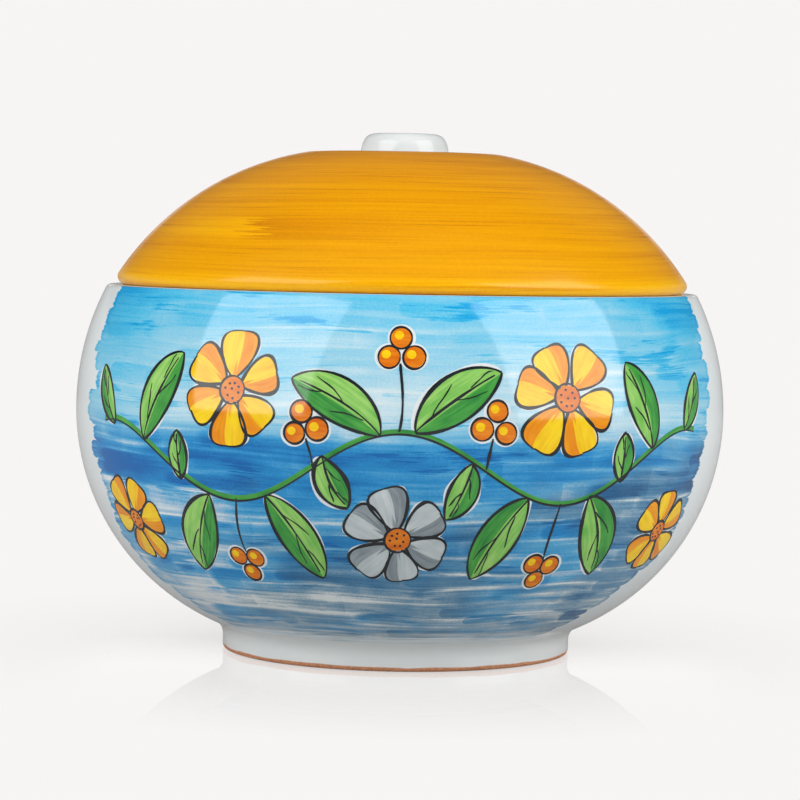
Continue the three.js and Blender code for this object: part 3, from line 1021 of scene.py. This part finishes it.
# %% Stains for the marks
STAINS = {  # name, ramp of colours, and mm between the streaks
    "reserve": ("bare_white_reserve", [(0.3, "#D9E2E6"), (0.65, "#E8EDEE")], 2.0),
    "leaf": ("light_green_stain", [(0.32, "#5FB548"), (0.66, "#A9DA78")], 1.1),
    "leaf_shade": ("dark_green_stain", [(0.32, "#23803A"), (0.66, "#57AE4C")], 0.9),
    "petal": ("yellow_stain", [(0.32, "#F3B705"), (0.62, "#FFD91F")], 1.4),
    "petal_shade": ("orange_stain", [(0.34, "#E8820A"), (0.66, "#F8A90F")], 1.0),
    "grey": ("pale_grey_stain", [(0.32, "#B4BFC3"), (0.62, "#D0D8DA")], 1.4),
    "grey_shade": ("slate_grey_stain", [(0.34, "#77838A"), (0.66, "#A3AEB3")], 1.0),
    "berry": ("red_orange_stain", [(0.34, "#D9620F"), (0.66, "#EE8F22")], 1.2),
    "line": ("black_line_stain", [(0.3, "#14171A"), (0.7, "#33373A")], 0.7),
}
APART = 40.0  # how far the random number of a mark moves its pattern


def stain(name, stops, fine):
    """Colour streaked along the mark: noise of 18 mm by `fine` mm, with slow patches of 9 by 5 mm."""
    material, add = new_finish(name)
    stroke = add("Attribute stroke").outputs["Vector"]
    streak = add("VectorMath MULTIPLY", stroke, (1 / 18, 1 / fine, APART))
    patch = add("VectorMath MULTIPLY_ADD", stroke, (1 / 9, 1 / 5, APART), (7.0, 3.0, 0.0))
    lines = add("TexNoise", Vector=streak, Scale=1.0, Detail=3.0)
    clouds = add("TexNoise", Vector=patch, Scale=1.0, Detail=2.0)
    level = add("Math MULTIPLY", add("Math ADD", lines, clouds), 0.5)
    under_glaze(add, add("ValToRGB", level, stops=stops))
    return material


painted = []
for colour, (name, stops, fine) in STAINS.items():
    piece = brush_marks("painted_" + colour, marks[colour])
    finish(piece, [stain(name, stops, fine)])
    painted.append(piece)

# %% [markdown]
# ## Camera
# The photograph was taken from the front, a little above the rim, with a long lens. A look-at matrix
# places the camera, and a small roll matches the jar's handmade lean in the picture.

# %% Place the camera
EYE = Vector((0, -1.201, 0.1624))
AIM = Vector((0, 0, 0.0968))
ROLL = np.radians(1.1)
FOCAL_PIXELS, FRAME_PIXELS = 3098, 800
SENSOR = 36  # mm

camera_data = bpy.data.cameras.new("camera")
camera_data.sensor_width = SENSOR
camera_data.lens = SENSOR * FOCAL_PIXELS / FRAME_PIXELS
camera = bpy.data.objects.new("camera", camera_data)
bpy.context.scene.collection.objects.link(camera)
facing = (AIM - EYE).to_track_quat("-Z", "Y").to_matrix().to_4x4()
camera.matrix_world = Matrix.Translation(EYE) @ facing @ Matrix.Rotation(ROLL, 4, "Z")
bpy.context.scene.camera = camera
print(f"lens {camera_data.lens:.0f} mm at {(AIM - EYE).length:.2f} m")

# %% [markdown]
# ## The floor
# The jar stands on a pale sweep that runs up at its far edge, so no horizon shows. Near the jar the
# floor is lit as it is and keeps the shadow; further off it has the plain colour of the background.
# In front of the jar it is polished: there it mirrors the foot, but only at a flat angle. The glaze
# sees the sweep dimmed, which keeps the sides of the jar darker than the background.

# %% A pale sweep for the floor
BACKDROP = "#F7F5F4"
SWEEP, SWEEP_RISE, SWEEP_HEIGHT = 4500.0, 900.0, 1000.0  # mm, the flat and its rise
SWEEP_DROP = 0.05  # mm below the foot
POLISH = 0.74  # share that the polished floor mirrors at a flat angle
FLAT_FRESNEL = 0.44  # Fresnel's share at that angle

# Lit floor that fades into the plain background colour 60 to 220 mm from the jar's axis.
sweep_finish, add = new_finish("pale_sweep")
place = add("TexCoord").outputs["Object"]
side, depth, height = add("SeparateXYZ", place).outputs
far = add("MapRange", add("VectorMath LENGTH", place), 0.06, 0.22, 0.6, 1.0)
path = add("LightPath").outputs
glossy = path["Is Glossy Ray"]
behind = add("MapRange", depth, 5.2, 5.27, 0.0, 0.68)
high = add("MapRange", height, 0.58, 0.66)
in_glaze = add("Math MULTIPLY", glossy, add("Math MULTIPLY_ADD", behind, high, 0.32))
direct = add("Math MAXIMUM", path["Is Camera Ray"], path["Is Transmission Ray"])
plain = add("Math MULTIPLY", far, add("Math MAXIMUM", direct, in_glaze))
tone = add("Mix RGBA", glossy, A_Color=linear("#C4C3C2"), B_Color=linear("#6E6D6C"))
matt = add("BsdfDiffuse", Color=tone)
gloss = add("BsdfGlossy", Color=(1, 1, 1, 1), Roughness=0.02)
narrow = add("MapRange", add("Math ABSOLUTE", side), 0.105, 0.14, POLISH, 0.0)
polish = add("Math MULTIPLY", add("MapRange", depth, 0.02, -0.06), narrow)
grazing = add("Math DIVIDE", add("Fresnel", IOR=GLASS_IOR), FLAT_FRESNEL)
skim = add("Math MULTIPLY", add("Math POWER", grazing, 5.0), polish)
skim.use_clamp = True
lit = add("MixShader", skim, matt, gloss)
near = add("MapRange", polish, 0.0, POLISH, 1.15, 1.06)
strength = add("MapRange", far, 0.6, 1.0, near, 1.0)
glow = add("Emission", Color=linear(BACKDROP), Strength=strength)
add("OutputMaterial", Surface=add("MixShader", plain, lit, glow))

sweep_edge = SWEEP + SWEEP_RISE
sweep_rise = rounded((sweep_edge, SWEEP_HEIGHT), (sweep_edge, 0), (SWEEP, 0), 16)
sweep = turned("pale_floor", joined(sweep_rise, (1000, 0), (0, 0)) - [0, SWEEP_DROP])
finish(sweep, [sweep_finish])

# %% [markdown]
# ## Light
# Two soft boxes stand left and right in front, as the window-like lights on the belly show, and weak
# lamps from above and behind, which the glaze doesn't mirror, fill the shadows.

# %% Soft boxes and world
LAMPS = {  # azimuth and elevation, distance, width, height in metres, radiance, mirrored
    "soft_box_left": (-52, 25.5, 1.35, 1.1, 1.26, 3.1, True),
    "soft_box_right": (60, 25.5, 1.35, 1.1, 1.26, 3.25, True),
    "fill_above": (0, 70, 1.4, 2.8, 1.2, 0.6, False),
    "fill_behind": (180, 30, 1.7, 2.0, 1.3, 2.2, False),
}
LIT_POINT = Vector((0, 0, 0.1))  # middle of the jar, that every lamp faces

for name, (azimuth, elevation, distance, width, height, radiance, mirrored) in LAMPS.items():
    lamp = bpy.data.lights.new(name, "AREA")
    lamp.shape = "RECTANGLE"
    lamp.size, lamp.size_y = width, height
    lamp.energy = radiance * np.pi * width * height  # power of an even, matt lamp
    box = bpy.data.objects.new(name, lamp)
    a, e = np.radians(azimuth), np.radians(elevation)
    away = Vector((np.sin(a) * np.cos(e), -np.cos(a) * np.cos(e), np.sin(e)))
    facing = away.to_track_quat("Z", "Y").to_matrix().to_4x4()
    box.matrix_world = Matrix.Translation(LIT_POINT + away * distance) @ facing
    box.visible_camera = False
    box.visible_glossy = mirrored
    bpy.context.scene.collection.objects.link(box)

world = bpy.data.worlds.new("dim_studio")
world.use_nodes = True
world.node_tree.nodes.clear()
add = partial(add_node, world.node_tree)
add("OutputWorld", Surface=add("Background", Color=(1, 1, 1, 1), Strength=0.08))
bpy.context.scene.world = world
bpy.context.scene.view_settings.view_transform = "Standard"
print(len(LAMPS), "lamps")

# %% [markdown]
# ## Bodies
# Every piece rides on the body that carries it and stands for its solid, which is hidden.

# %% Ride and replace
for piece, body, solid, slot in (
    (bowl, "jar", "jar_bowl", "blue_washed_glaze"),
    (foot, "jar", "foot_ring", "white_glaze"),
    (lid, "lid", "lid_dome", "orange_glaze"),
    (flange, "lid", "lid_flange", "white_glaze"),
    (knob, "lid", "lid_knob", "white_glaze"),
):
    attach(piece, body)
    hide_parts(solid)
for piece in painted:
    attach(piece, "jar")
